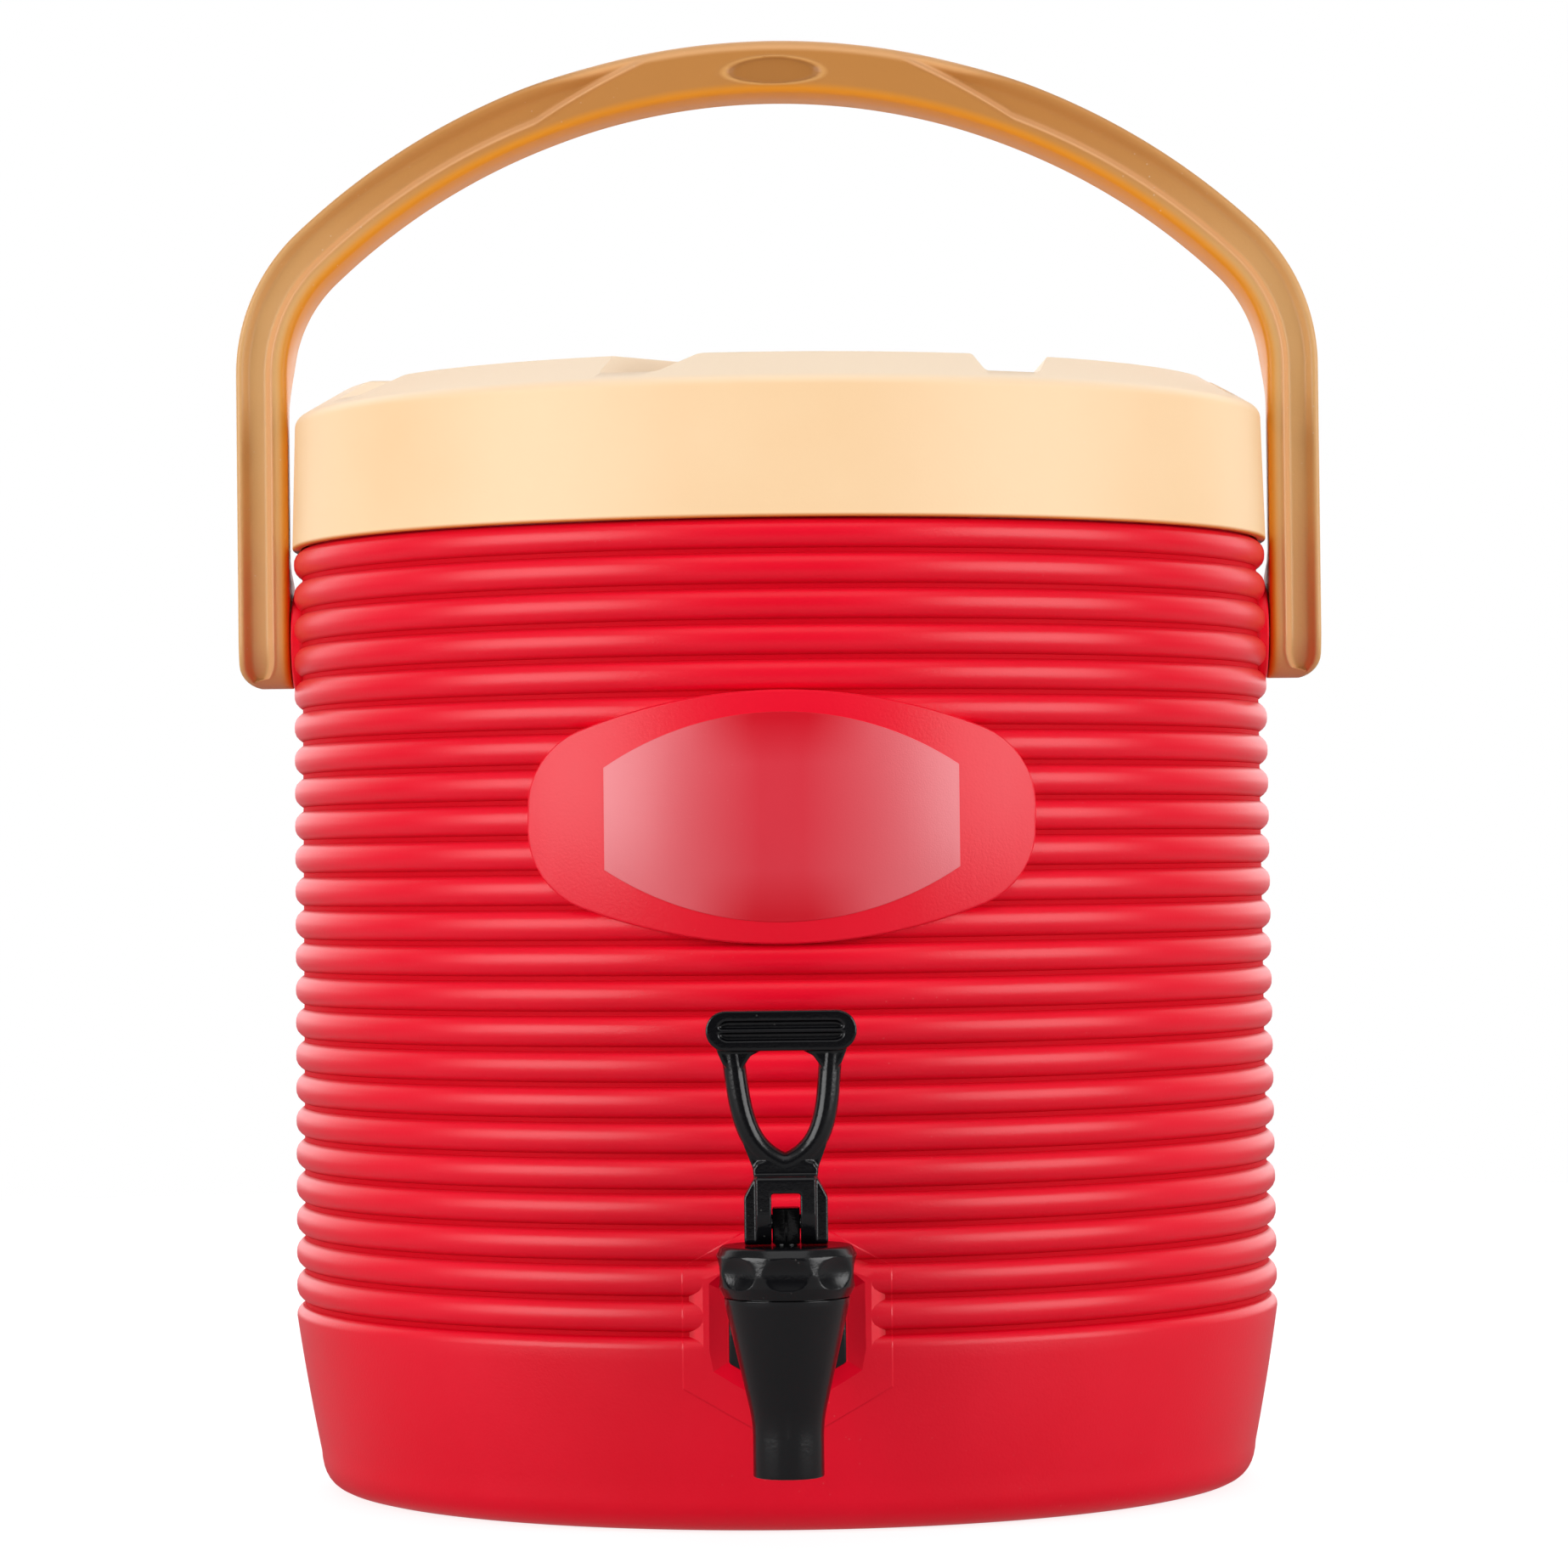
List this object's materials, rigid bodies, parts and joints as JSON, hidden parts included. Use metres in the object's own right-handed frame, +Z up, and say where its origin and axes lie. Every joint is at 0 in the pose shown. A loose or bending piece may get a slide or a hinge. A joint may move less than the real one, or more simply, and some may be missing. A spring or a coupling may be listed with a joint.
{
  "type": "insulated beverage dispenser",
  "caption": "Portable insulated drink barrel with a ribbed shell, steel liner, screw-on lid, swinging bail handle and self-closing lever tap.",
  "frame": {"origin": "centre of the flat base plate, in the plane that the barrel stands on", "axes": "+Z up along the barrel, -Y towards the tap, +X to the right seen from the tap's side, through the handle's pivots"},
  "size_m": [0.3338, 0.3558, 0.4441],
  "materials": {
    "red_plastic": "satin moulded plastic, slightly pebbled",
    "label_film": "matt plastic film",
    "cream_plastic": "smooth satin moulded plastic",
    "tan_plastic": "satin moulded plastic",
    "black_plastic": "semi-gloss moulded plastic",
    "white_plastic": "smooth moulded plastic",
    "liner_steel": "drawn stainless steel with fine rings",
    "fastener_steel": "turned stainless steel",
    "silicone": "translucent white silicone",
    "black_rubber": "matt rubber",
    "foam": "rigid polyurethane foam"
  },
  "bodies": {
    "barrel": {"outer_shell": "red_plastic", "base_cover": "red_plastic", "rim_collar": "red_plastic", "front_label": "label_film", "inner_liner": "liner_steel", "foam_jacket": "foam", "handle_washer_left": "fastener_steel", "handle_washer_right": "fastener_steel", "handle_screw_left": "fastener_steel", "handle_screw_right": "fastener_steel", "tap_body": "black_plastic", "tap_bonnet": "black_plastic", "tap_spring": "fastener_steel", "tap_outer_nut": "black_plastic", "tap_outer_gasket": "black_rubber", "tap_inner_gasket": "silicone", "tap_locknut": "black_plastic"},
    "lid_seal": {"lid_gasket": "silicone"},
    "lid": {"lid_shell": "cream_plastic", "lid_inner_cover": "white_plastic", "lid_foam": "foam"},
    "handle": {"bail_handle": "tan_plastic", "handle_bush_left": "white_plastic", "handle_bush_right": "white_plastic"},
    "stem": {"tap_stem": "black_plastic", "seat_cup": "silicone", "lever_pin": "fastener_steel"},
    "lever": {"tap_lever": "black_plastic"}
  },
  "joints": [
    {"name": "handle_swing", "type": "hinge", "parent": "barrel", "child": "handle", "pos_m": [0, 0, 0.26], "axis": [1, 0, 0], "range_deg": [-105, 105]},
    {"name": "lid_rise", "type": "slide", "parent": "barrel", "child": "lid_seal", "axis": [0, 0, 1], "range_m": [0, 0.0072]},
    {"name": "lid_turn", "type": "hinge", "parent": "lid_seal", "child": "lid", "pos_m": [0, 0, 0.3], "axis": [0, 0, 1], "range_deg": [0, 72]},
    {"name": "stem_lift", "type": "slide", "parent": "barrel", "child": "stem", "axis": [0, 0, 1], "range_m": [0, 0.004], "deforming": ["tap_spring"]},
    {"name": "lever_tilt", "type": "hinge", "parent": "stem", "child": "lever", "pos_m": [0, -0.185, 0.091], "axis": [1, 0, 0], "range_deg": [0, 75], "stiffness_Nm_per_rad": 0.15, "springref_deg": -17.19}
  ],
  "couplings": [
    {"joint": "lid_rise", "follows": "lid_turn", "m_per_rad": 0.0057296},
    {"joint": "stem_lift", "follows": "lever_tilt", "m_per_rad": 0.0030558}
  ]
}
